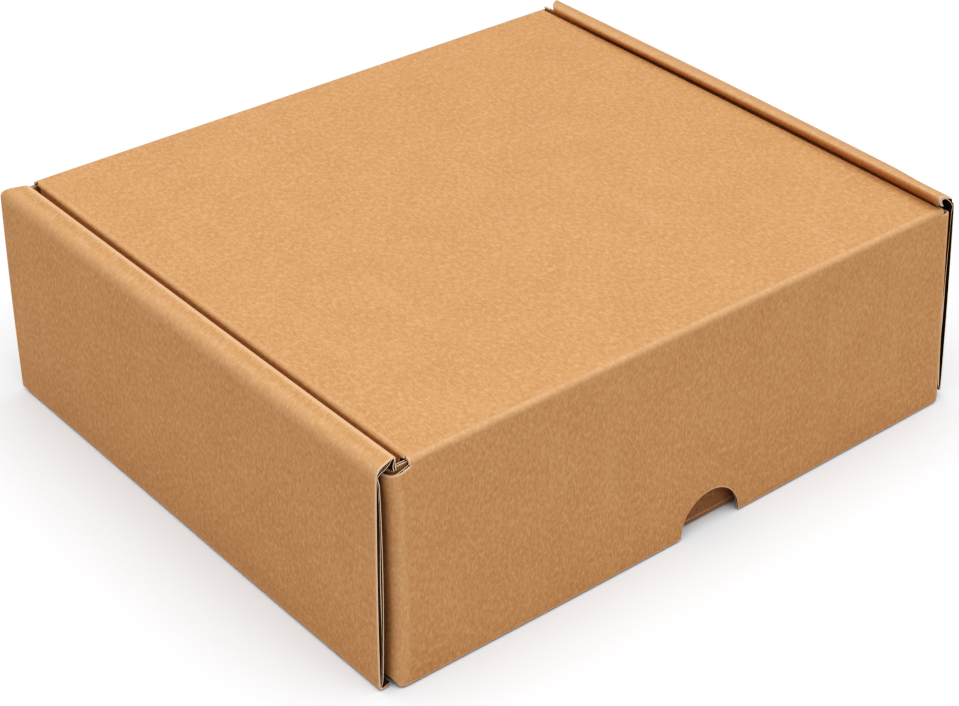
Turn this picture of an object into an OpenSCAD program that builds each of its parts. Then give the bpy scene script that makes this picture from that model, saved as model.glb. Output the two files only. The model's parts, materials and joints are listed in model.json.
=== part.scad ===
// Closed mailing box, folded from one sheet of fluted board.
// Millimetres. X runs along the front, Y to the back and Z up.
// The origin is the middle of the underside. The front flap is the part that lifts first.

/* [Box] */
// Length along the front, over the outer side walls at the bottom
box_l = 310; // [300:1:330]
// Depth from the front ends of the side walls to the back wall
box_w = 260; // [240:1:275]
// Height of the outer crease of each side wall
side_h = 100; // [90:1:110]
// How far the lid lies below those creases
lid_drop = 1.6; // [1:0.1:3]

/* [Board] */
// Thickness of the board
board = 1.6; // [1.4:0.1:1.8]
// Outer radius of a fold
fold_r = 2.4; // [2.2:0.1:3]
// Room left between two sheets that lie side by side
play = 0.4; // [0.3:0.1:0.5]

/* [Side walls] */
// Width of the sloping strip on top of each side wall
strip_w = 9; // [8.6:0.1:11]
// How much higher the strip's inner crease is than its outer one
strip_rise = 3.5; // [2:0.1:5]
// Outer radius of the outer crease
brow_r = 5; // [3:0.5:6]
// How far the strip's inner crease stops short of the back
strip_back = 10; // [6:0.5:14]
// Width of the tabs that lock the inner walls into the base
tab_w = 34; // [20:1:40]
// Distance of each tab from the middle of the depth
tab_y = 62; // [40:1:70]
// Length of the corner flaps tucked inside the side walls
corner_flap_l = 58; // [40:1:80]

/* [Lid] */
// Depth of the lid's side flaps, which hang inside the side walls
dust_flap_d = 52; // [30:1:60]
// How far the ends of those flaps stand back from the front and back of the box
dust_flap_in = 3.4; // [3:0.2:30]
// How far the lid sits to the right of the middle
lid_shift = 1.8; // [0:0.1:2]

/* [Front flap] */
// Angle at which the flap springs out from the front wall
flap_kick = 2.2; // [1:0.1:4]
// Gap between the flap's lower edge and the ground
flap_lift = 0.5; // [0.5:0.1:2]
// Length of the ears tucked into the side walls
ear_l = 60; // [40:1:64]
// How far the top edge of each ear falls towards its end
ear_fall = 5; // [3:0.5:8]
// Depth of the round cut between each corner of the lid and the ear's fold
corner_dip = 1.8; // [1:0.1:2.5]
// Width of the cut at each lower corner
low_cut_w = 3.5; // [3:0.1:6]
// Height of the cut at each lower corner
low_cut_h = 6.5; // [5:0.1:8]
// Radius of the thumb notch
notch_r = 16.5; // [12:0.5:20]
// Distance of the thumb notch from the middle of the flap
notch_x = 11; // [-20:0.5:20]

/* [Hidden] */
kraft = "#c08f5a";
kraft_light = "#cb9a64";
bend_steps = 6;                            // flat strips round each fold
over = 1;                                  // how far a cutting shape passes a face
lid_h = side_h - lid_drop;                 // the lid's top face
front_y = -box_w / 2;                      // front ends of the side walls
back_y = box_w / 2;                        // outer face of the back wall
wall_y = front_y + board + play;           // outer face of the front wall
hinge_z = lid_h - fold_r;                  // where the flat of the front flap begins
wall_top = lid_h - board - play;           // top edge of the front wall
ridge_x = box_l / 2 - strip_w;             // inner crease, and the face of the inner wall in the box
corner_x = ridge_x + 2 * board + play;     // outer face of each corner flap
ear_x = corner_x + board + play;           // outer face of each ear
dust_x = ridge_x - board - 2 * play;       // outer face of the lid's side flaps before the shift
lid_x = dust_x - fold_r + play;            // half the width of the lid's end creases
flap_h = (hinge_z - flap_lift) / cos(flap_kick);
ear_sweep = flap_h - low_cut_h;            // the ears are cut round on the flap's own crease

// Direction from one point to the next
function heading(a, b) = (b - a) / norm(b - a);

// A direction turned left by an angle
function turned(d, angle) = [
    d[0] * cos(angle) - d[1] * sin(angle),
    d[0] * sin(angle) + d[1] * cos(angle)
];

// The points round one fold, on the face that lies this deep behind the outer one
function fold_points(before, corner, after, depth, radius) =
    let (
        come = heading(before, corner),
        go = heading(corner, after),
        turn = acos(come * go),
        side = turned(come, 90),
        centre = corner - come * radius * tan(turn / 2) + side * radius
    )
    [for (step = [0 : bend_steps]) centre - turned(side, turn * step / bend_steps) * (radius - depth)];

// One face of a folded sheet. The path runs along the outer face and turns left at each fold.
function face_points(path, depth, radii) =
    let (last = len(path) - 1)
    concat(
        [path[0] + turned(heading(path[0], path[1]), 90) * depth],
        [for (i = [1 : last - 1]) each fold_points(path[i - 1], path[i], path[i + 1], depth, radii[i - 1])],
        [path[last] + turned(heading(path[last - 1], path[last]), 90) * depth]
    );

// Section of a folded sheet, with the outer radius of each fold
module section(path, radii = [fold_r, fold_r]) {
    inner = face_points(path, board, radii);
    polygon(concat(face_points(path, 0, radii), [for (i = [len(inner) - 1 : -1 : 0]) inner[i]]));
}

// Sheet folded on lines along X, its section drawn in Y and Z
module folded_on_x(path, half_l) {
    rotate([90, 0, 90])
        translate([0, 0, -half_l])
            linear_extrude(2 * half_l) section(path);
}

// Sheet folded on lines along Y, its section drawn in X and Z
module folded_on_y(path, from_y, to_y, radii = [fold_r, fold_r]) {
    translate([0, to_y, 0])
        rotate([90, 0, 0])
            linear_extrude(to_y - from_y) section(path, radii);
}

// Sheet folded on lines along Z, its section drawn in X and Y
module folded_on_z(path, from_z, to_z) {
    translate([0, 0, from_z])
        linear_extrude(to_z - from_z) section(path);
}

// The same shape on both sides
module both_sides() {
    children();
    mirror([1, 0, 0]) children();
}

// Slots in the base for the lock tabs of one side
module tab_slots() {
    for (y = [-tab_y, tab_y])
        translate([ridge_x - play, y - tab_w / 2 - play, -over])
            cube([board + 2 * play, tab_w + 2 * play, board + 2 * over]);
}

// Flat base with its lock slots
module base() {
    side = box_l / 2 - fold_r;
    difference() {
        translate([-side, wall_y + fold_r, 0])
            cube([2 * side, back_y - wall_y - 2 * fold_r, board]);
        both_sides() tab_slots();
    }
}

// Corner of the base cut away under the end of a side wall
module corner_relief(from_y, to_y) {
    translate([0, from_y, -over])
        cube([box_l / 2 - board, to_y - from_y, over + board + play]);
}

// Room cleared through the inner wall, up to a height
module inner_cut(from_y, to_y, top) {
    translate([ridge_x - over, from_y, -over])
        cube([board + 2 * over, to_y - from_y, over + top]);
}

// Slanting cut that takes the back end off the strip and off the top of the inner wall
module strip_end() {
    translate([0, 0, lid_h - board])
        linear_extrude(side_h)
            polygon([
                [box_l / 2, back_y - play],
                [ridge_x - over, back_y + over],
                [ridge_x - over, back_y - strip_back],
                [ridge_x, back_y - strip_back]
            ]);
}

// Side wall folded from the base: outer wall, sloping strip, and inner wall with its lock tabs
module side_wall() {
    inner_front = wall_y + board + play;
    inner_back = back_y - board - play;
    foot = board + play;
    difference() {
        folded_on_y([
            [box_l / 2 - 2 * fold_r, 0],
            [box_l / 2, 0],
            [box_l / 2, side_h],
            [ridge_x, side_h + strip_rise],
            [ridge_x, play]
        ], front_y, back_y - play, [fold_r, brow_r, fold_r]);
        strip_end();
        corner_relief(front_y - over, wall_y + fold_r);
        corner_relief(back_y - fold_r, back_y + over);
        inner_cut(front_y - over, inner_front, lid_h - board);
        inner_cut(inner_back, back_y + over, lid_h - board);
        inner_cut(front_y - over, -tab_y - tab_w / 2, foot);
        inner_cut(tab_w / 2 - tab_y, tab_y - tab_w / 2, foot);
        inner_cut(tab_y + tab_w / 2, back_y + over, foot);
    }
}

// Front wall, folded up from the base, and its two corner flaps
module front_wall() {
    folded_on_x([
        [wall_y, wall_top],
        [wall_y, 0],
        [wall_y + 2 * fold_r, 0]
    ], corner_x - fold_r);
    folded_on_z([
        [-corner_x, wall_y + corner_flap_l],
        [-corner_x, wall_y],
        [corner_x, wall_y],
        [corner_x, wall_y + corner_flap_l]
    ], fold_r, wall_top);
}

// Back wall and its two corner flaps
module back_wall() {
    folded_on_x([
        [back_y - 2 * fold_r, 0],
        [back_y, 0],
        [back_y, hinge_z]
    ], corner_x - fold_r);
    folded_on_z([
        [corner_x, back_y - corner_flap_l],
        [corner_x, back_y],
        [-corner_x, back_y],
        [-corner_x, back_y - corner_flap_l]
    ], fold_r, hinge_z);
}

// Lid, from its back crease to its front crease
module lid_panel() {
    folded_on_x([
        [back_y, hinge_z - fold_r],
        [back_y, lid_h],
        [front_y, lid_h],
        [front_y, hinge_z]
    ], lid_x);
}

// The lid's side flaps, which hang inside the inner walls and are cut away at both ends
module dust_flaps() {
    slant = 14;
    half = back_y - dust_flap_in;
    under = half - board - play;
    low = lid_h - dust_flap_d;
    intersection() {
        folded_on_y([
            [dust_x, low],
            [dust_x, lid_h],
            [-dust_x, lid_h],
            [-dust_x, low]
        ], -half, half);
        rotate([90, 0, 90])
            translate([0, 0, -box_l / 2])
                linear_extrude(box_l)
                    polygon([
                        [-half, lid_h + over],
                        [half, lid_h + over],
                        [half, lid_h - board],
                        [under, lid_h - board],
                        [under - slant, low],
                        [slant - under, low],
                        [-under, lid_h - board],
                        [-half, lid_h - board]
                    ]);
    }
}

// Everything but the front flap
module tray_and_lid() {
    color(kraft) {
        base();
        both_sides() side_wall();
        front_wall();
        back_wall();
        translate([lid_shift, 0, 0]) {
            lid_panel();
            dust_flaps();
        }
    }
}

// Round cut in the flap's top edge between two places
module dip(from_x, to_x) {
    half = (to_x - from_x) / 2;
    radius = (half * half + corner_dip * corner_dip) / (2 * corner_dip);
    translate([from_x + half, radius - corner_dip]) circle(radius, $fn = 64);
}

// Front view of the flap: dipped top corners, cut lower corners and the thumb notch
module flap_outline() {
    difference() {
        polygon([
            [-ear_x, 0],
            [ear_x, 0],
            [ear_x, low_cut_h - flap_h],
            [ear_x - low_cut_w, -flap_h],
            [low_cut_w - ear_x, -flap_h],
            [-ear_x, low_cut_h - flap_h]
        ]);
        translate([notch_x, -flap_h]) circle(notch_r, $fn = 64);
        dip(-ear_x - over, lid_shift - lid_x);
        dip(lid_shift + lid_x, ear_x + over);
    }
}

// Side view of the flap: the ears are rounded so that they swing clear of the base
module ear_outline() {
    intersection() {
        circle(ear_sweep, $fn = 96);
        polygon([
            [-over, over],
            [fold_r, over],
            [ear_l, -ear_fall],
            [ear_l, -flap_h],
            [-over, -flap_h]
        ]);
    }
    translate([-over, -flap_h - over]) square([over + board + play, flap_h + 2 * over]);
}

// Flap with its ears folded back, hanging straight down from a crease at the origin
module hanging_flap() {
    intersection() {
        folded_on_z([
            [-ear_x, ear_l],
            [-ear_x, 0],
            [ear_x, 0],
            [ear_x, ear_l]
        ], -flap_h, 0);
        rotate([90, 0, 0])
            translate([0, 0, -ear_l - over])
                linear_extrude(ear_l + 2 * over) flap_outline();
        rotate([90, 0, 90])
            translate([0, 0, -box_l / 2])
                linear_extrude(box_l) ear_outline();
    }
}

// The flap as it stands when the box is shut, sprung out a little at the bottom
module front_flap() {
    color(kraft_light)
        translate([0, front_y, hinge_z])
            rotate([-flap_kick, 0, 0]) hanging_flap();
}

tray_and_lid();
front_flap();
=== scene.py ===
"""A closed mailing box folded from fluted kraft board, on a pale floor.

The board is made as it is in life: two liners with a fluted medium between them. Lengths are
millimetres until a piece is made, and metres from there on, as for the floor, lamp and camera.
"""

import json
import math

import bmesh
import bpy
import numpy as np
from mathutils import Matrix, Vector


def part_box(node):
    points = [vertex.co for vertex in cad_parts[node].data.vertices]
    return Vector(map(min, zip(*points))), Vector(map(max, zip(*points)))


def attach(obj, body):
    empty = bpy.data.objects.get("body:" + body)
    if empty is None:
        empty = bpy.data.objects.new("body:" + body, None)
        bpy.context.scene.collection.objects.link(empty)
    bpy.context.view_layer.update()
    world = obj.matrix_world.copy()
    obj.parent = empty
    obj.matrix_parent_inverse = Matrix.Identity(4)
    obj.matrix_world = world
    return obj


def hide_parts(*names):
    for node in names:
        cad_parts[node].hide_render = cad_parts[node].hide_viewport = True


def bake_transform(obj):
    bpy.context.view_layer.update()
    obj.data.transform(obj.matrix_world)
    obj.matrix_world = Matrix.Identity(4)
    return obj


MM = 0.001

# The board
BOARD = 1.6
FOLD_R = 2.4  # outer radius of most folds
PLAY = 0.4  # room between panels that lie against each other
LINER = 0.34
MEDIUM = 0.2
PITCH = 3.3  # from flute to flute
WANDER = 105  # length over which a flute strays by a quarter pitch and comes back

# The blank. Pairs are for the left and the right.
LID_DROP = 1.6  # from the side walls' top crease down to the lid
STRIP_W = 9
STRIP_RISE = 3.5
STRIP_BACK = 10  # how far the mitre takes back the strip's back end
TAB_W = 34
TAB_Y = 62
CORNER_FLAP_L = 58
DUST_FLAP_D = 52  # depth of the lid's side flaps
DUST_IN = 3.4  # from the lid's creases to the side flaps' ends
DUST_SLANT = 14
LID_SHIFT = 1.8  # how far the lid lies to the right of the middle
LID_SPARE = 2.6  # how much further the lid's folds reach at the right
LID_TUCK = 1.8  # how far the left side flap is set in
EAR_L = 60
EAR_RISE = 1  # the ears' upper edge slants from this far over the crease
EAR_FALL = 5  # to this far below it
CORNER_DIPS = (1.8, 0.7)
DIP_SPARE = 1  # how far the dips' arcs would reach past the ears
LOW_CUTS_W = (1.6, 1.2)
LOW_CUTS_H = (2.6, 2)
NOTCH_R = 16.5
NOTCH_X = 11
FLAP_LIFT = 0.5  # from the floor to the front flap
CORNER_LOW = 0.2  # from the floor to the corners of the front and back walls

# Folds: outer radius, and the share of the board's thickness that is crushed
SOFT_FOLD = (FOLD_R, 0.3)
ROUND_FOLD = (4.5, 0.3)
CRISP_FOLD = (1.2, 0.4)
CREASE_FOLD = (1.8, 0.35)
LID_FOLD = (1.3, 0.3)
LEFT_FOLDS = (CRISP_FOLD, (5, 0.3), (1.1, 0.48))
RIGHT_FOLDS = (CRISP_FOLD, (3, 0.3), (2.8, 0.3))
CRUSH_REACH = 1.7  # how far the crushing dies out beside a fold
CREASE_REACH = 1.2  # how far a fold's paler paper and painted highlight reach
HEM_SHARE = 0.6  # share of a side wall's bottom fold that stops short of the wall's ends
LID_SHARES = (0.8, 0.35)  # shares of the lid's side folds where the panel begins and ends

# Cut edges, and what shows between the liners
EDGE_STEPS = (0, 0.15, 0.4, 0.9)
EDGE_REACH = 0.9
EDGE_PINCH = 0.15
MEDIUM_RECESS = 0.5
MEDIUM_DEPTH = 14
SIDE_FLUTES = 2.5  # flutes modelled behind an edge that runs along them
SHORTEST_SPAN = 4  # stations of medium that are worth modelling

# How far the liners come apart at the front end of the side walls
SPREAD_REACH = 14
WALL_SPREAD = (0.5, 1.1)  # outer and inner liner
WALL_SPREAD_SHAPE = 0.6  # below 1, the gap is nearly even over the wall's height
STRIP_DIP = 1.5

# How the front ends of the sides lean, over the bottom and over the top
WALL_LEAN = (4.6, -2.8)
FLAP_LEAN = (1.3, -1.8)
LEAN_REACH = 35  # how far back the lean reaches
LEAN_FALL = 1.5  # how quickly it dies out
LEAN_START = 100  # from the middle to where the flap and the front wall begin to give
LEAN_FULL = 1  # the flap's lean is whole this far inside the ear's outer face
LEFT_GAP = (2.1, 3.8, 3.6, 0.9)  # how far the flap stands off at the left, at these heights
GAP_HEIGHTS = (0, 30, 84, 98)

# How the right roll gives. Triples are for its front end, ROLL_END before its back end, and there.
ROLL_OVER = 7.4  # how far its inner crease overhangs
ROLL_SHARES = (1, 1, 0.3)
ROLL_RISES = (4.6, 1.9, 0)
ROLL_END = 50
ROLL_TOP = 0.6  # where its inner wall is set back, over the lid
ROLL_SWING = (0.8, 5)  # the swing begins this far under the lid, and is whole this much higher

# How the panels bow and sag
LEFT_SPRING = (0.7, 0.5, 0.4)  # outer wall, strip, and middle of the outer wall
LEFT_SPRING_Y = 20  # the left side springs out fully behind this distance in front of the middle
RIGHT_SPRING = (1.2, 0.5)  # strip, and middle of the wall
FRONT_BULGE = (0.4, 1)  # foot of the front wall: all along, and more in the middle
FLAP_BOW = (0.5, 0.9)  # lower edge of the front flap: all along, and more in the middle
FLAP_SPARE = 0.3
LID_SAG = 0.5
LID_DROOP = 1.1  # left edge of the lid
DROOP_REACH = 5
BACK_TILT = 0.8  # back edge of the lid

# Spacing of the meshes
STEP = 0.001  # width of a step in an outline
FOLD_CUTS = 9  # stations over each fold
FOLD_STEPS = (0.6, 1.3, 2.2, 3.4)  # and beside it
SPREAD_STEPS = (2, 4, 6, 8, 11, 14)
FLUTE_STEP = PITCH / 8
ROLL_STEPS = np.linspace(-0.5, 2.5, 13)  # where the inner wall passes the lid
NOTCH_CUTS = 29
DIP_STEPS = (1, 2, 3, 4, 5, 6)
EAR_STEP = 4
SHARP_ANGLE = 38

# Materials of a board's faces. The inside one is a near-black paper that paints the shade in the gaps
# between the liners and inside the rolls.
OUTSIDE, CUT, INSIDE_PAINTED_SHADE = range(3)

# Colours of the paper
KRAFT = (0.449, 0.226, 0.1, 1)
KRAFT_DARK = (0.337, 0.157, 0.064, 1)
KRAFT_LIGHT = (0.62, 0.378, 0.226, 1)
# Painted shade: a darker copy of the kraft for the front wall, which lies in shade behind the flap and
# in the thumb notch
KRAFT_PAINTED_SHADE = (0.26, 0.13, 0.062, 1)
KRAFT_PAINTED_SHADE_DARK = (0.19, 0.09, 0.04, 1)
KRAFT_PAINTED_SHADE_LIGHT = (0.42, 0.25, 0.15, 1)
CUT_PALE = (0.74, 0.57, 0.45, 1)
CUT_DARK = (0.55, 0.38, 0.26, 1)
# Painted shade: the paper between the liners and inside the rolls is kraft, and is made near black
# here because little light gets there
MEDIUM_PAINTED_SHADE = (0.075, 0.042, 0.021, 1)
MEDIUM_PAINTED_SHADE_DARK = (0.045, 0.024, 0.011, 1)
RIB_SCALE = 330  # of the lines that flutes make in the front wall's paper
RIB_STRENGTH = 0.75

# Floor, light and camera, in metres
FLOOR_WHITE = (0.735, 0.75, 0.77, 1)
FLOOR_HALF = 4
FLOOR_Z = -0.0009
WORLD_STRENGTH = 0.45
KEY_PLACE = (-0.17, -0.27, 1.9)
KEY_SIZE = 3
KEY_POWER = 69
CAMERA_PLACE = (-0.5451, -0.6561, 0.5781)
CAMERA_ANGLES = (59.027, -0.898, -40.297)
CAMERA_LENS = 86.83
CAMERA_SENSOR = 36
CAMERA_SHIFT = (-0.0417, -0.0938)
CAMERA_NEAR = 0.01
# How bright each level of light is shown
TONE = ((0.015, 0.003), (0.04, 0.0165), (0.12, 0.098), (0.3, 0.325), (0.6, 0.655))

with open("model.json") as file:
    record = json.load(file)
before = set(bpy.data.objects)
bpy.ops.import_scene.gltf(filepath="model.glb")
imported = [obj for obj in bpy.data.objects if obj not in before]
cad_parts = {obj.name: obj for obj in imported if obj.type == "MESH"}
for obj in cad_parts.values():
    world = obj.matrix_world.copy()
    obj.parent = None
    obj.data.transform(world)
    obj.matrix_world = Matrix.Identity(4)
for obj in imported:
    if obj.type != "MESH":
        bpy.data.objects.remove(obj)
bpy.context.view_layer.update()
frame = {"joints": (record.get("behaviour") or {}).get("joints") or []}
joint = frame["joints"][0]
_, tray_hi = (np.array(corner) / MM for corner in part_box("tray_and_lid"))

half_l = tray_hi[0]
back_y = tray_hi[1]
front_y, hinge_z = (value / MM for value in joint["pos_m"][1:])
kick = -math.radians(joint["range_deg"][0])
lid_h = hinge_z + FOLD_R
side_h = lid_h + LID_DROP
foot = BOARD + PLAY
wall_y = front_y + BOARD + PLAY
wall_top = lid_h - BOARD - PLAY
inner_front = wall_y + BOARD + PLAY
inner_back = back_y - BOARD - PLAY
ridge_x = half_l - STRIP_W
corner_x = ridge_x + 2 * BOARD + PLAY
ear_x = corner_x + BOARD + PLAY
dust_x = ridge_x - BOARD - 2 * PLAY
lid_x = dust_x - FOLD_R + PLAY
lid_ends = (LID_SHIFT - lid_x, LID_SHIFT + lid_x + LID_SPARE)
flap_h = (hinge_z - FLAP_LIFT) / math.cos(kick)


def unit(vector):
    return vector / np.linalg.norm(vector)


def left_of(vector):
    return np.array([-vector[1], vector[0]])


class Sheet:
    """Outer face of a folded sheet, seen end-on. It runs along the corners and turns left at each.

    folds gives each fold's outer radius and the share of the board's thickness that it crushes.
    """

    def __init__(self, corners, folds=()):
        corners = [np.array(corner, float) for corner in corners]
        self.runs = []
        self.folds = []
        self.length = 0.0
        here = corners[0]
        for before, corner, after, fold in zip(corners, corners[1:], corners[2:], folds):
            radius, soft = fold
            come = unit(corner - before)
            go = unit(after - corner)
            turn = math.acos(float(come @ go))
            setback = radius * math.tan(turn / 2)
            bend = corner - come * setback
            self.add_run(np.linalg.norm(bend - here), here, come, 0)
            self.folds.append((self.length, self.length + radius * turn, soft))
            self.add_run(radius * turn, bend, come, 1 / radius)
            here = corner + go * setback
        self.add_run(np.linalg.norm(corners[-1] - here), here, unit(corners[-1] - corners[-2]), 0)

    def add_run(self, length, origin, heading, curl):
        self.runs.append((self.length, origin, heading, curl))
        self.length += length

    def at(self, distance):
        """Point, inward direction and thickness at each distance along the sheet."""
        point = np.zeros((len(distance), 2))
        inward = np.zeros((len(distance), 2))
        for start, origin, heading, curl in self.runs:
            past = distance >= start - 1e-9
            along = (distance[past] - start)[:, None]
            side = left_of(heading)
            if curl:
                inward[past] = np.cos(along * curl) * side - np.sin(along * curl) * heading
                point[past] = origin + (side - inward[past]) / curl
            else:
                inward[past] = side
                point[past] = origin + along * heading
        return point, inward, BOARD * (1 - self.softness(distance))

    def softness(self, distance, reach=CRUSH_REACH):
        """Share of the thickness that the nearest fold has crushed."""
        soft = np.zeros(len(distance))
        for begin, end, crush in self.folds:
            away = np.maximum(np.maximum(begin - distance, distance - end), 0)
            soft = np.maximum(soft, crush * np.exp(-((away / reach) ** 2)))
        return soft

    def within_fold(self, number, share):
        """Distance along the sheet at this share of a fold."""
        begin, end, _ = self.folds[number]
        return begin + share * (end - begin)

    def stations(self, spacing, extra=()):
        """Distances close together at folds and ends, and further apart on the flat."""
        marks = [*EDGE_STEPS, *(self.length - step for step in EDGE_STEPS), *extra]
        for begin, end, _ in self.folds:
            marks += list(np.linspace(begin, end, FOLD_CUTS))
            for away in FOLD_STEPS:
                marks += [begin - away, end + away]
        marks = sorted(mark for mark in marks if 0 <= mark <= self.length)
        kept = [marks[0]]
        for mark in marks[1:]:
            gap = mark - kept[-1]
            if gap > STEP / 2:
                kept += list(np.linspace(kept[-1], mark, math.ceil(gap / spacing) + 1)[1:])
        return np.array(kept)


def on_y(point, across):
    """Places a sheet that is seen end-on from the front."""
    return np.stack([point[..., 0], across, point[..., 1]], -1)


def on_x(point, across):
    """Places a sheet that is seen end-on from the side."""
    return np.stack([across, point[..., 0], point[..., 1]], -1)


def on_z(point, across):
    """Places a sheet that is seen end-on from above."""
    return np.stack([point[..., 0], point[..., 1], across], -1)


def pinch(away):
    """How far a face leans in towards the middle of the board, this far from a cut edge."""
    return EDGE_PINCH * np.clip(1 - away / EDGE_REACH, 0, 1) ** 2


class Pile:
    """Closed paper shells that make up one piece."""

    def __init__(self):
        self.points = []
        self.faces = []
        self.papers = []
        self.coords = []
        self.crease = []
        self.edge = []
        self.count = 0

    def shell(self, outer, inner, coords, crease, edge, papers):
        """One closed sheet of paper between two faces. Its rim is cut paper."""
        rows, columns = outer.shape[:2]
        top = self.count + np.arange(rows * columns).reshape(rows, columns)
        low = top + rows * columns
        self.count += 2 * rows * columns
        for points in (outer, inner):
            self.points.append(points.reshape(-1, 3))
            self.coords.append(coords.reshape(-1, 2))
            self.crease.append(crease.reshape(-1))
            self.edge.append(edge.reshape(-1))
        self.quads((top[:-1, :-1], top[1:, :-1], top[1:, 1:], top[:-1, 1:]), papers[0])
        self.quads((low[:-1, :-1], low[:-1, 1:], low[1:, 1:], low[1:, :-1]), papers[1])
        for rim, under in ((top[0], low[0]), (top[:, -1], low[:, -1])):
            self.quads((rim[:-1], rim[1:], under[1:], under[:-1]), CUT)
        for rim, under in ((top[-1], low[-1]), (top[:, 0], low[:, 0])):
            self.quads((rim[:-1], under[:-1], under[1:], rim[1:]), CUT)

    def quads(self, corners, paper):
        quads = np.stack(corners, -1).reshape(-1, 4)
        self.faces.append(quads)
        self.papers.append(np.full(len(quads), paper))

    def piece(self, name, warp=None, papers=None):
        """The finished object. warp moves its points."""
        points = np.concatenate(self.points)
        if warp:
            points = warp(points)
        faces = np.concatenate(self.faces)
        mesh = bpy.data.meshes.new(name)
        mesh.from_pydata((points * MM).tolist(), [], faces.tolist())
        mesh.polygons.foreach_set("material_index", np.concatenate(self.papers))
        layer = mesh.uv_layers.new(name="sheet")
        coords = np.concatenate(self.coords) * MM
        layer.data.foreach_set("uv", coords[faces.reshape(-1)].reshape(-1))
        for label, values in (("crease", self.crease), ("edge", self.edge)):
            attribute = mesh.attributes.new(label, "FLOAT", "POINT")
            attribute.data.foreach_set("value", np.concatenate(values))
        work = bmesh.new()
        work.from_mesh(mesh)
        bmesh.ops.recalc_face_normals(work, faces=work.faces)
        work.to_mesh(mesh)
        work.free()
        for paper in papers or board_papers:
            mesh.materials.append(paper)
        mesh.shade_smooth()
        mesh.set_sharp_from_angle(angle=math.radians(SHARP_ANGLE))
        piece = bpy.data.objects.new(name, mesh)
        bpy.context.scene.collection.objects.link(piece)
        return piece


def closed(distance, across):
    """No spread between the liners."""
    return np.zeros(across.shape), np.zeros(across.shape)


def add_board(pile, sheet, limits, place, spacing=14, rows=8, extra=(), ends=(1, 1),
              along=False, shift=(0, 0), spread=closed, lining=OUTSIDE):
    """Two liners and the fluted medium of one folded sheet.

    limits gives, for distances and points, the low and high bounds across and which are cut.
    ends says which ends of the path are cut. along is true where the flutes follow the path.
    shift moves the paper's pattern. spread gives how far the outer liner moves out and the inner
    liner moves in. lining is the material of the inner face.
    """
    distance = sheet.stations(spacing, extra)
    point, inward, thick = sheet.at(distance)
    low, high, low_cut, high_cut = limits(distance, point)
    near = np.array(EDGE_STEPS, float)
    middle = np.linspace(0, 1, rows + 2)[1:-1]
    inside = high - low - 2 * near[-1]
    if spread is not closed:
        middle = np.concatenate([np.array(SPREAD_STEPS) / inside.max(), middle[1:]])
    across = np.hstack([
        low[:, None] + near,
        low[:, None] + near[-1] + inside[:, None] * middle,
        high[:, None] - near[::-1],
    ])
    give = np.maximum(
        pinch(across - low[:, None]) * low_cut[:, None],
        pinch(high[:, None] - across) * high_cut[:, None],
    )
    give = np.maximum(give, (pinch(distance) * ends[0])[:, None])
    give = np.maximum(give, (pinch(sheet.length - distance) * ends[1])[:, None])
    give = np.minimum(give, (thick / 2 - LINER - STEP)[:, None])
    crease = np.repeat(sheet.softness(distance, CREASE_REACH)[:, None], across.shape[1], 1)
    run = np.repeat(distance[:, None], across.shape[1], 1)
    coords = np.stack([across, run] if along else [run, across], -1) + np.array(shift)

    def face(depth):
        return place(point[:, None] + inward[:, None] * depth[..., None], across)

    full = np.repeat(thick[:, None], across.shape[1], 1)
    edge = give / EDGE_PINCH
    out, into = spread(run, across)
    # Faces that look into the board take the near-black paper of painted shade
    pile.shell(face(give - out), face(give - out + LINER), coords, crease, edge, (OUTSIDE, INSIDE_PAINTED_SHADE))
    full += into
    pile.shell(face(full - give - LINER), face(full - give), coords, crease, edge, (INSIDE_PAINTED_SHADE, lining))
    if along:
        add_side_flutes(pile, sheet, limits, place, spread)
    else:
        add_end_flutes(pile, sheet, limits, place)


def wave(distance, room):
    """Depth of the medium's two faces within the room between the liners."""
    swing = (room - MEDIUM) / 2
    slope = swing * 2 * np.pi / PITCH * np.cos(2 * np.pi * distance / PITCH)
    middle = room / 2 + swing * np.sin(2 * np.pi * distance / PITCH)
    half = np.minimum(MEDIUM / 2 * np.sqrt(1 + slope ** 2), middle)
    return middle - half, middle + half


def add_end_flutes(pile, sheet, limits, place):
    """The medium behind open edges that run along the path."""
    distance = np.arange(MEDIUM_RECESS, sheet.length - MEDIUM_RECESS, FLUTE_STEP)
    point, inward, thick = sheet.at(distance)
    low, high, low_cut, high_cut = limits(distance, point)
    room = thick - 2 * LINER
    first, second = wave(distance, room)
    for bound, cut, sign in ((low, low_cut, 1), (high, high_cut, -1)):
        spans = np.flatnonzero(np.diff(np.concatenate([[0], cut > 0.5, [0]])))
        for start, stop in zip(spans[::2], spans[1::2]):
            if stop - start < SHORTEST_SPAN:
                continue
            part = slice(start, stop)
            reach = np.minimum(MEDIUM_DEPTH, (high - low)[part] / 2)
            depths = np.stack([np.full(stop - start, MEDIUM_RECESS), reach / 3, reach], -1)
            across = bound[part][:, None] + sign * depths
            give = pinch(depths)
            scale = (room[part][:, None] - 2 * give) / room[part][:, None]
            outer = LINER + give + first[part][:, None] * scale
            inner = LINER + give + second[part][:, None] * scale
            where = point[part][:, None]
            inwards = inward[part][:, None]
            coords = np.stack([np.repeat(distance[part][:, None], 3, 1), across], -1)
            none = np.zeros(across.shape)
            # The medium takes the near-black paper of painted shade
            pile.shell(
                place(where + inwards * outer[..., None], across),
                place(where + inwards * inner[..., None], across),
                coords, none, none, (INSIDE_PAINTED_SHADE, INSIDE_PAINTED_SHADE),
            )


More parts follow.
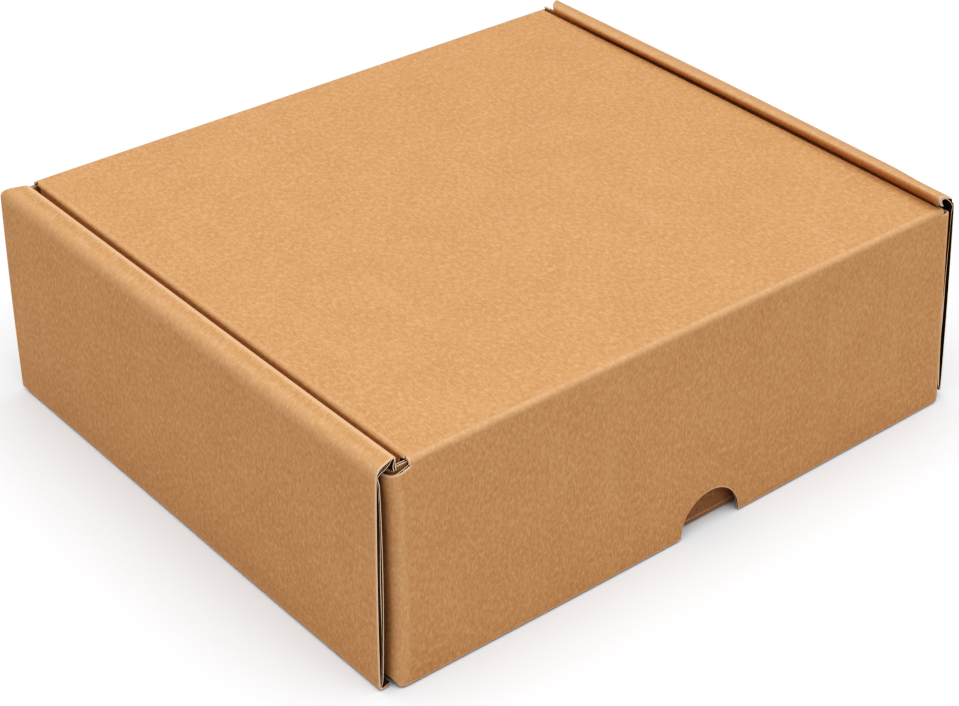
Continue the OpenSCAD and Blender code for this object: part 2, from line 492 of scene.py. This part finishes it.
def add_side_flutes(pile, sheet, limits, place, spread):
    """The first flutes beside open edges that run parallel to them."""
    distance = sheet.stations(spacing=8)
    point, inward, thick = sheet.at(distance)
    low, high, low_cut, high_cut = limits(distance, point)
    offset = np.arange(MEDIUM_RECESS, SIDE_FLUTES * PITCH, FLUTE_STEP)
    for bound, cut, sign in ((low, low_cut, 1), (high, high_cut, -1)):
        if cut.min() < 0.5:
            continue
        across = bound[:, None] + sign * offset
        run = np.repeat(distance[:, None], len(offset), 1)
        out, into = spread(run, across)
        room = (thick - 2 * LINER)[:, None] + out + into
        wander = PITCH / 4 * np.sin(np.pi * run / WANDER) ** 2
        first, second = wave(offset[None] + wander, room)
        give = pinch(np.repeat(offset[None], len(distance), 0))
        scale = (room - 2 * give) / room
        coords = np.stack([across, run], -1)
        none = np.zeros(across.shape)
        first = LINER - out + give + first * scale
        second = LINER - out + give + second * scale
        # The medium takes the near-black paper of painted shade
        pile.shell(
            place(point[:, None] + inward[:, None] * first[..., None], across),
            place(point[:, None] + inward[:, None] * second[..., None], across),
            coords, none, none, (INSIDE_PAINTED_SHADE, INSIDE_PAINTED_SHADE),
        )


def steady(low, high, low_cut, high_cut):
    """Limits that are the same all along a sheet."""
    def limits(distance, point):
        ones = np.ones(len(distance))
        return ones * low, ones * high, ones * low_cut, ones * high_cut
    return limits


def lean(points, amounts, floor_x, full_x, heights=(0, side_h)):
    """Moves the front of one side sideways, by an amount for each height.

    It moves nothing inside floor_x, and all of the amount from full_x outwards.
    """
    share = np.clip((points[:, 0] - floor_x) / (full_x - floor_x), 0, 1)
    share *= np.clip((front_y + LEAN_REACH - points[:, 1]) / LEAN_REACH, 0, 1) ** LEAN_FALL
    points[:, 0] += share * np.interp(points[:, 2], heights, amounts)
    return points


def widen_left(points):
    """Moves the left ends of the front wall and the front flap in, away from the side wall."""
    return lean(points, LEFT_GAP, -LEAN_START, -corner_x + BOARD, GAP_HEIGHTS)


def roll_over(points):
    """The right-hand roll is looser: its inner crease overhangs the lid."""
    inner = np.clip((half_l - points[:, 0]) / STRIP_W, 0, 1)
    high = np.clip((points[:, 2] - lid_h + ROLL_SWING[0]) / ROLL_SWING[1], 0, 1)
    places = (front_y, back_y - ROLL_END, back_y)
    points[:, 0] -= ROLL_OVER * inner * high * np.interp(points[:, 1], places, ROLL_SHARES)
    points[:, 2] += inner * high * np.interp(points[:, 1], places, ROLL_RISES)
    return points


def settle(points):
    """The back edge of the lid sits a little low at its right end and high at its left end."""
    back = np.clip(points[:, 1] / back_y, 0, 1) ** 2 * np.clip(points[:, 2] / lid_h, 0, 1)
    points[:, 2] -= BACK_TILT * points[:, 0] / half_l * back
    return points


def spring_left(points):
    """The left wall and strip spring outwards, and the inner wall stands in at its front end."""
    rise = np.clip(points[:, 2] / side_h, 0, 1)
    front = np.minimum(points[:, 1] + LEFT_SPRING_Y, 0) / (back_y - LEFT_SPRING_Y)
    outer = np.clip((-points[:, 0] - half_l + 2 * FOLD_R) / FOLD_R, 0, 1)
    wall, strip, bow = LEFT_SPRING
    bulge = wall * outer + strip * rise + bow * outer * np.sin(np.pi * rise)
    points[:, 0] -= np.clip(1 - front ** 2, 0, 1) * bulge
    amounts = (0, *LEFT_GAP[:3], 0)
    heights = (foot, 2 * foot, *GAP_HEIGHTS[1:3], lid_h)
    return lean(points, amounts, -ear_x, -corner_x, heights)


def spring_right(points):
    """The right wall springs outwards between its ends, rolls over, and leans at its front end."""
    rise = np.clip(points[:, 2] / side_h, 0, 1)
    middle = np.clip(1 - (points[:, 1] / back_y) ** 2, 0, 1)
    strip, bow = RIGHT_SPRING
    points[:, 0] += middle * (strip * rise + bow * np.sin(np.pi * rise))
    return lean(roll_over(points), WALL_LEAN, half_l - 2 * FOLD_R, half_l - BOARD)


def side_wall(name, side):
    """Outer wall, sloping strip and inner wall, with the tabs that lock into the base."""
    sheet = Sheet([
        (half_l - 2 * FOLD_R, 0),
        (half_l, 0),
        (half_l, side_h),
        (ridge_x, side_h + STRIP_RISE),
        (ridge_x, foot),
    ], LEFT_FOLDS if side < 0 else RIGHT_FOLDS)
    hem = sheet.within_fold(0, HEM_SHARE)
    strip = sheet.within_fold(1, 0)
    ridge = sheet.within_fold(2, 0)
    inner_top = lid_h - BOARD if side < 0 else lid_h + ROLL_TOP
    inner = sheet.length - (inner_top - foot)

    def limits(distance, point):
        """The bottom fold stops short of the wall's ends, but runs on at the left front corner.

        The strip is mitred at the back, and the inner wall is set back from both ends.
        """
        low = np.full(len(distance), front_y)
        high = np.full(len(distance), back_y - PLAY)
        under = distance <= hem
        within = distance > inner
        low[under] = front_y if side < 0 else wall_y + FOLD_R
        high[under] = back_y - FOLD_R
        slant = (half_l - point[:, 0]) / STRIP_W * (STRIP_BACK - PLAY)
        mitred = (distance > strip) & ~within
        high[mitred] -= slant[mitred]
        low[within] = inner_front
        high[within] = inner_back
        return low, high, np.ones(len(distance)), np.ones(len(distance))

    def spread(distance, across):
        """The board has come apart at the front: along the outer wall, and inside the strip."""
        near = np.clip(1 - (across - front_y) / SPREAD_REACH, 0, 1) ** 2
        wall = np.sin(np.pi * np.clip((distance - hem) / (strip - hem), 0, 1))
        wall = near * wall ** WALL_SPREAD_SHAPE
        top = np.sin(np.pi * np.clip((distance - strip) / (ridge - strip), 0, 1))
        return WALL_SPREAD[0] * wall, WALL_SPREAD[1] * wall + near * STRIP_DIP * top ** 2

    def place(point, across):
        return on_y(point * np.array([side, 1]), across)

    pile = Pile()
    marks = [hem, hem + STEP, inner, inner + STEP, *(sheet.length - (lid_h - foot + ROLL_STEPS))]
    # The inner face of the roll takes the near-black paper of painted shade, so the inside of the roll
    # shows black
    add_board(pile, sheet, limits, place, spacing=8, rows=14, extra=marks, ends=(0, 1), along=True,
              spread=spread, lining=INSIDE_PAINTED_SHADE)
    tab = Sheet([(ridge_x, foot), (ridge_x, PLAY)])
    for middle in (-TAB_Y, TAB_Y):
        bounds = steady(middle - TAB_W / 2, middle + TAB_W / 2, 1, 1)
        add_board(pile, tab, bounds, place, ends=(0, 1), rows=2, shift=(sheet.length, 0))
    declare(pile.piece(name, spring_left if side < 0 else spring_right))


def wall(corners, low, high):
    """The front or back wall and its two corner flaps."""
    pile = Pile()
    sheet = Sheet(corners, (SOFT_FOLD, SOFT_FOLD))
    marks = []
    for begin, end, _ in sheet.folds:
        marks += [begin - STEP, begin, end, end + STEP]

    def limits(distance, point):
        """The corners reach down past the fold along the bottom."""
        corner = (np.abs(point[:, 0]) > corner_x - FOLD_R + STEP / 2) & (distance > FOLD_R)
        corner &= np.abs(point[:, 1] - corners[1][1]) < FOLD_R + STEP / 2
        ones = np.ones(len(distance))
        return np.where(corner, CORNER_LOW, low), ones * high, ones, ones

    add_board(pile, sheet, limits, on_z, spacing=20, rows=6, extra=marks)
    return pile


def front_wall():
    """Front wall with its corner flaps and its bottom fold."""
    pile = wall([
        (-corner_x, wall_y + CORNER_FLAP_L),
        (-corner_x, wall_y),
        (corner_x, wall_y),
        (corner_x, wall_y + CORNER_FLAP_L),
    ], FOLD_R, wall_top)
    reach = corner_x - FOLD_R
    fold = Sheet([(wall_y, FOLD_R), (wall_y, 0), (wall_y + 2 * FOLD_R, 0)], (CRISP_FOLD,))
    add_board(pile, fold, steady(-reach, reach, 1, 1), on_x, ends=(0, 0), along=True)

    def bulge(points):
        """The foot of the wall bows out towards the flap, and its ends lean with the flap."""
        span = np.clip(1 - (points[:, 0] / corner_x) ** 2, 0, 1)
        near = np.clip(1 - (points[:, 1] - wall_y) / (2 * FOLD_R), 0, 1)
        bow = FRONT_BULGE[0] + FRONT_BULGE[1] * span
        points[:, 1] -= bow * near * (1 - np.clip(points[:, 2] / wall_top, 0, 1))
        widen_left(points)
        return lean(points, (0, FLAP_LEAN[1]), corner_x - 2 * BOARD, corner_x - BOARD)

    # The front wall's face takes the darker copy of the kraft: painted shade for the recess behind the
    # flap
    declare(pile.piece("front_wall", bulge, [ribbed_painted_shade_paper, *board_papers[1:]]))


def back_wall():
    """Back wall with its corner flaps, its bottom fold and the lid's back crease."""
    pile = wall([
        (corner_x, back_y - CORNER_FLAP_L),
        (corner_x, back_y),
        (-corner_x, back_y),
        (-corner_x, back_y - CORNER_FLAP_L),
    ], FOLD_R, hinge_z)
    reach = corner_x - FOLD_R
    fold = Sheet([(back_y - 2 * FOLD_R, 0), (back_y, 0), (back_y, FOLD_R)], (SOFT_FOLD,))
    add_board(pile, fold, steady(-reach, reach, 1, 1), on_x, ends=(0, 0), along=True)
    crease = Sheet([(back_y, hinge_z), (back_y, lid_h), (back_y - FOLD_R, lid_h)], (SOFT_FOLD,))
    add_board(pile, crease, steady(*lid_ends, 1, 1), on_x, ends=(0, 0), along=True)
    declare(pile.piece("back_wall", settle))


def base_panel():
    """Base, in strips that leave the slots for the lock tabs open."""
    pile = Pile()
    side = half_l - 2 * FOLD_R
    slot = ridge_x - PLAY
    rim = ridge_x + BOARD + PLAY
    front = wall_y + 2 * FOLD_R
    back = back_y - 2 * FOLD_R
    slot_near = TAB_Y - TAB_W / 2 - PLAY
    slot_far = TAB_Y + TAB_W / 2 + PLAY
    spans = [(-slot, slot, front, back)]
    for sign in (-1, 1):
        inner, outer = sorted((sign * slot, sign * rim))
        spans.append((*sorted((sign * rim, sign * side)), front, back))
        spans.append((inner, outer, front, -slot_far))
        spans.append((inner, outer, -slot_near, slot_near))
        spans.append((inner, outer, slot_far, back))
    for left, right, near, far in spans:
        sheet = Sheet([(left, 0), (right, 0)])
        add_board(pile, sheet, steady(near, far, 0, 0), on_y, spacing=30, ends=(0, 0), shift=(left, 0))
    declare(pile.piece("base_panel"))


def sag(points):
    """The lid sags between its folds, droops at its left edge and lies a little to the right."""
    span = np.clip(1 - (points[:, 0] / lid_x) ** 2, 0, 1)
    points[:, 2] -= LID_SAG * span * np.clip(1 - (points[:, 1] / back_y) ** 4, 0, 1)
    droop = np.clip((DROOP_REACH - dust_x - points[:, 0]) / DROOP_REACH, 0, 1) ** 2
    points[:, 2] -= LID_DROOP * droop * np.clip(1 - (points[:, 1] / back_y) ** 8, 0, 1)
    points[:, 0] += LID_SHIFT
    return settle(points)


def lid():
    """Top panel and its side flaps, which hang inside the inner walls."""
    low_z = lid_h - DUST_FLAP_D
    sheet = Sheet([
        (dust_x, low_z),
        (dust_x, lid_h),
        (LID_TUCK - dust_x, lid_h),
        (LID_TUCK - dust_x, low_z),
    ], (CRISP_FOLD, LID_FOLD))
    first = sheet.within_fold(0, LID_SHARES[0])
    last = sheet.within_fold(1, LID_SHARES[1])
    half = back_y - DUST_IN
    step_z = lid_h - BOARD

    def limits(distance, point):
        """The side flaps are shorter than the panel, and slant in towards their lower edges."""
        fall = np.clip((step_z - point[:, 1]) / (step_z - low_z), 0, 1)
        reach = half - (BOARD + PLAY) * (fall > 0) - DUST_SLANT * fall
        flat = (distance > first + STEP / 2) & (distance < last - STEP / 2)
        reach[flat] = back_y - FOLD_R
        cut = np.where(flat, 0.0, 1.0)
        return -reach, reach, cut, cut

    pile = Pile()
    marks = (first, first + STEP, last - STEP, last)
    add_board(pile, sheet, limits, on_y, rows=14, extra=marks, shift=(-sheet.length / 2, 0))
    declare(pile.piece("lid", sag))


def lid_crease():
    """The front fold of the lid, at the front flap's hinge."""
    sheet = Sheet([
        (front_y + FOLD_R, lid_h),
        (front_y + FOLD_R * math.tan(kick), lid_h),
        (front_y, hinge_z),
    ], (CREASE_FOLD,))
    pile = Pile()
    add_board(pile, sheet, steady(*lid_ends, 1, 1), on_x, rows=24, ends=(0, 0), along=True)
    piece = pile.piece("lid_crease")
    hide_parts("tray_and_lid")
    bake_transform(piece)


def flap_limits(distance, point):
    """Outline of the front flap and its ears, measured down from the lid's crease."""
    x = np.abs(point[:, 0])
    y = np.clip(point[:, 1], 0, EAR_L)
    right = point[:, 0] > 0
    pairs = (LOW_CUTS_W, LOW_CUTS_H, CORNER_DIPS)
    low_w, low_h, dip = (np.where(right, pair[1], pair[0]) for pair in pairs)
    low = np.full(len(distance), -flap_h)

    # The ears are cut round on the crease, so that they clear the base
    cut = np.clip((x - ear_x + low_w) / low_w, 0, 1)
    low += low_h * cut
    sweep = np.sqrt((flap_h - low_h) ** 2 - y ** 2)
    low = np.maximum(low, np.where(cut < 1, low, -sweep))

    # Thumb notch
    notch = NOTCH_R ** 2 - (point[:, 0] - NOTCH_X) ** 2
    low = np.where((notch > 0) & (x < lid_x), -flap_h + np.sqrt(np.maximum(notch, 0)), low)

    # Round dips past the crease's ends, and ears that fall away to the back
    past = np.maximum(point[:, 0] - lid_ends[1], lid_ends[0] - point[:, 0])
    half = (ear_x + DIP_SPARE - np.where(right, lid_ends[1], -lid_ends[0])) / 2
    radius = (half ** 2 + dip ** 2) / (2 * dip)
    chord = np.sqrt(np.maximum(radius ** 2 - (past - half) ** 2, 0)) - radius + dip
    high = -np.where(past > 0, np.maximum(chord, 0), 0)
    slope = EAR_RISE - (y - FOLD_R) / (EAR_L - FOLD_R) * (EAR_FALL + EAR_RISE)
    high = np.where(y > FOLD_R, np.minimum(high, slope), high)
    return low, high, np.ones(len(distance)), np.where(past > STEP / 2, 1.0, 0.0)


def hang(points):
    """Hangs the flap on the crease: it stands off at the bottom, bows forward and leans."""
    span = np.clip(1 - (points[:, 0] / ear_x) ** 2, 0, 1)
    points[:, 1] -= (FLAP_BOW[0] + FLAP_BOW[1] * span) * (points[:, 2] / flap_h) ** 2
    points[:, 2] *= 1 + FLAP_SPARE / flap_h
    turn = Matrix.Rotation(-kick, 3, "X")
    points = points @ np.array(turn).T + np.array([0, front_y, hinge_z])
    widen_left(points)
    return lean(points, FLAP_LEAN, LEAN_START, ear_x - LEAN_FULL)


def front_flap_board():
    """Front flap with its ears, cut round at the thumb notch and at its corners."""
    sheet = Sheet([
        (-ear_x, EAR_L),
        (-ear_x, 0),
        (ear_x, 0),
        (ear_x, EAR_L),
    ], (ROUND_FOLD, CRISP_FOLD))
    middle = ear_x + EAR_L - (2 - np.pi / 2) * ROUND_FOLD[0]
    turns = np.linspace(0, np.pi, NOTCH_CUTS)
    marks = list(middle + NOTCH_X - NOTCH_R * np.cos(turns))
    for side, end, low_cut in zip((-1, 1), lid_ends, LOW_CUTS_W):
        marks += [middle + end, middle + end + side * STEP]
        marks += [middle + end + side * away for away in DIP_STEPS]
        marks += [middle + side * (ear_x - low_cut)]
    ear_marks = np.arange(EAR_STEP, EAR_L, EAR_STEP)
    marks += [*ear_marks, *(sheet.length - ear_marks)]
    pile = Pile()
    add_board(pile, sheet, flap_limits, on_z, spacing=8, rows=10, extra=marks, shift=(-middle, 0))
    piece = pile.piece("front_flap_board", hang)
    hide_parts("front_flap")
    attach(piece, "front_flap")


def declare(piece):
    """A piece that stands in for the tray and lid, and stays with it."""
    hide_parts("tray_and_lid")
    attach(piece, "tray_and_lid")


class Paper:
    """A paper material, whose colour is built up from layers."""

    def __init__(self, name, colour, roughness, specular):
        self.material = bpy.data.materials.new(name)
        self.material.use_nodes = True
        self.tree = self.material.node_tree
        self.shader = self.tree.nodes["Principled BSDF"]
        self.shader.inputs["Roughness"].default_value = roughness
        self.shader.inputs["Specular IOR Level"].default_value = specular
        self.colour = colour

    def add(self, kind, **values):
        """A node, with values for its sockets and settings."""
        node = self.tree.nodes.new(kind)
        for key, value in values.items():
            if key in node.inputs:
                node.inputs[key].default_value = value
            else:
                setattr(node, key, value)
        return node

    def noise(self, where, stretch, scale, detail, rough):
        """Noise over these coordinates. A small stretch on an axis draws the noise out along it."""
        mapping = self.add("ShaderNodeMapping", Scale=stretch)
        texture = self.add("ShaderNodeTexNoise", Scale=scale, Detail=detail, Roughness=rough)
        self.tree.links.new(where, mapping.inputs["Vector"])
        self.tree.links.new(mapping.outputs["Vector"], texture.inputs["Vector"])
        return texture.outputs["Fac"]

    def attribute(self, name):
        return self.add("ShaderNodeAttribute", attribute_name=name).outputs["Fac"]

    def tint(self, factor, colour, low, high, amount):
        """Mixes a colour in where the factor goes from low to high."""
        span = self.add("ShaderNodeMapRange")
        span.inputs["From Min"].default_value = low
        span.inputs["From Max"].default_value = high
        span.inputs["To Max"].default_value = amount
        mix = self.add("ShaderNodeMix", data_type="RGBA")
        self.tree.links.new(factor, span.inputs["Value"])
        self.tree.links.new(span.outputs[0], mix.inputs[0])
        if isinstance(self.colour, tuple):
            mix.inputs[6].default_value = self.colour
        else:
            self.tree.links.new(self.colour, mix.inputs[6])
        mix.inputs[7].default_value = colour
        self.colour = mix.outputs[2]

    def relief(self, fine, coarse, fine_share=0.35, strength=0.35, depth=0.0006):
        """Slight unevenness from two noises."""
        height = self.add("ShaderNodeMath", operation="MULTIPLY_ADD")
        self.tree.links.new(fine, height.inputs[0])
        height.inputs[1].default_value = fine_share
        self.tree.links.new(coarse, height.inputs[2])
        bump = self.add("ShaderNodeBump", Strength=strength, Distance=depth)
        self.tree.links.new(height.outputs["Value"], bump.inputs["Height"])
        self.tree.links.new(bump.outputs["Normal"], self.shader.inputs["Normal"])

    def finish(self):
        self.tree.links.new(self.colour, self.shader.inputs["Base Color"])
        return self.material


def kraft(name, base, dark, light, ribs=0):
    """Kraft paper: soft mottling, fine fibres, and folds and cut edges that are rubbed paler and carry
    a painted highlight.

    ribs is how strongly the flutes show through as dark lines.
    """
    paper = Paper(name, base, roughness=0.86, specular=0.25)
    where = paper.add("ShaderNodeUVMap", uv_map="sheet").outputs["UV"]
    clouds = paper.noise(where, (1, 1, 1), 38, 5, 0.6)
    fibres = paper.noise(where, (1, 0.35, 1), 1300, 3, 0.7)
    mottle = paper.noise(where, (1, 0.6, 1), 520, 3, 0.6)
    flecks = paper.noise(where, (0.6, 1, 1), 700, 2, 0.5)
    streaks = paper.noise(where, (1, 0.05, 1), 260, 3, 0.6)
    crease = paper.attribute("crease")
    edge = paper.attribute("edge")
    paper.tint(clouds, dark, 0.35, 0.7, 0.3)
    paper.tint(fibres, dark, 0.5, 0.8, 0.7)
    paper.tint(fibres, light, 0.5, 0.2, 0.6)
    paper.tint(mottle, dark, 0.5, 0.75, 0.35)
    paper.tint(mottle, light, 0.5, 0.25, 0.3)
    paper.tint(flecks, dark, 0.62, 0.75, 0.6)
    paper.tint(streaks, light, 0.55, 0.75, 0.12)
    # Folds: paler as rubbed paper, and a painted highlight where they catch the light, strongest on
    # the tightly crushed ridge
    paper.tint(crease, light, 0.05, 0.45, 0.25)
    paper.tint(crease, light, 0.33, 0.48, 0.5)
    # Cut edges: paler raw paper, with a painted highlight along the rim
    paper.tint(edge, light, 0.02, 0.5, 0.85)
    if ribs:
        lines = paper.add("ShaderNodeTexWave", Scale=RIB_SCALE, Distortion=0.6, Detail=1)
        paper.tree.links.new(where, lines.inputs["Vector"])
        paper.tint(lines.outputs["Fac"], dark, 0.35, 0.9, ribs)
    paper.relief(fibres, clouds)
    return paper.finish()


def plain_paper(name, base, dark):
    """Plain grained paper: the raw paper at cut edges, and the near-black paper of painted shade
    between the liners and inside the rolls.
    """
    paper = Paper(name, base, roughness=0.95, specular=0.1)
    where = paper.add("ShaderNodeTexCoord").outputs["Object"]
    grain = paper.noise(where, (1, 1, 1), 900, 3, 0.5)
    paper.tint(grain, dark, 0, 1, 1)
    return paper.finish()


def floor():
    mesh = bpy.data.meshes.new("floor")
    corners = [(-1, -1, 0), (1, -1, 0), (1, 1, 0), (-1, 1, 0)]
    mesh.from_pydata([Vector(corner) * FLOOR_HALF for corner in corners], [], [(0, 1, 2, 3)])
    piece = bpy.data.objects.new("floor", mesh)
    bpy.context.scene.collection.objects.link(piece)
    piece.location.z = FLOOR_Z
    material = bpy.data.materials.new("floor_white")
    material.use_nodes = True
    shader = material.node_tree.nodes["Principled BSDF"]
    shader.inputs["Base Color"].default_value = FLOOR_WHITE
    shader.inputs["Roughness"].default_value = 0.9
    shader.inputs["Specular IOR Level"].default_value = 0.1
    mesh.materials.append(material)


def key_light():
    """One large softbox overhead, aimed at the box."""
    light = bpy.data.lights.new("key", "AREA")
    light.shape = "RECTANGLE"
    light.size = KEY_SIZE
    light.size_y = KEY_SIZE
    light.energy = KEY_POWER
    lamp = bpy.data.objects.new("key", light)
    lamp.location = KEY_PLACE
    lamp.rotation_euler = (-Vector(KEY_PLACE)).to_track_quat("-Z", "Y").to_euler()
    bpy.context.scene.collection.objects.link(lamp)


def white_world():
    world = bpy.data.worlds.new("studio")
    bpy.context.scene.world = world
    world.use_nodes = True
    back = world.node_tree.nodes["Background"]
    back.inputs["Color"].default_value = (1, 1, 1, 1)
    back.inputs["Strength"].default_value = WORLD_STRENGTH


def tone():
    """A camera's usual response: shadows fall off faster than mid tones."""
    view = bpy.context.scene.view_settings
    view.view_transform = "Standard"
    view.use_curve_mapping = True
    response = view.curve_mapping.curves[3]
    for level, shown in TONE:
        response.points.new(level, shown)
    view.curve_mapping.update()


def camera():
    data = bpy.data.cameras.new("camera")
    data.lens = CAMERA_LENS
    data.sensor_width = CAMERA_SENSOR
    data.shift_x, data.shift_y = CAMERA_SHIFT
    data.clip_start = CAMERA_NEAR
    piece = bpy.data.objects.new("camera", data)
    piece.location = CAMERA_PLACE
    piece.rotation_euler = [math.radians(angle) for angle in CAMERA_ANGLES]
    bpy.context.scene.collection.objects.link(piece)
    bpy.context.scene.camera = piece


board_papers = [
    kraft("kraft_liner", KRAFT, KRAFT_DARK, KRAFT_LIGHT),
    plain_paper("cut_paper", CUT_PALE, CUT_DARK),
    # Near-black paper of painted shade, for faces between the liners and inside the rolls
    plain_paper("fluted_medium_painted_shade", MEDIUM_PAINTED_SHADE, MEDIUM_PAINTED_SHADE_DARK),
]
# A darker copy of the kraft, with flute lines: painted shade for the front wall behind the flap
ribbed_painted_shade_paper = kraft("ribbed_liner_painted_shade", KRAFT_PAINTED_SHADE, KRAFT_PAINTED_SHADE_DARK, KRAFT_PAINTED_SHADE_LIGHT, RIB_STRENGTH)
tone()
camera()
white_world()
key_light()
floor()
side_wall("side_wall_right", 1)
side_wall("side_wall_left", -1)
base_panel()
front_wall()
back_wall()
lid()
lid_crease()
front_flap_board()
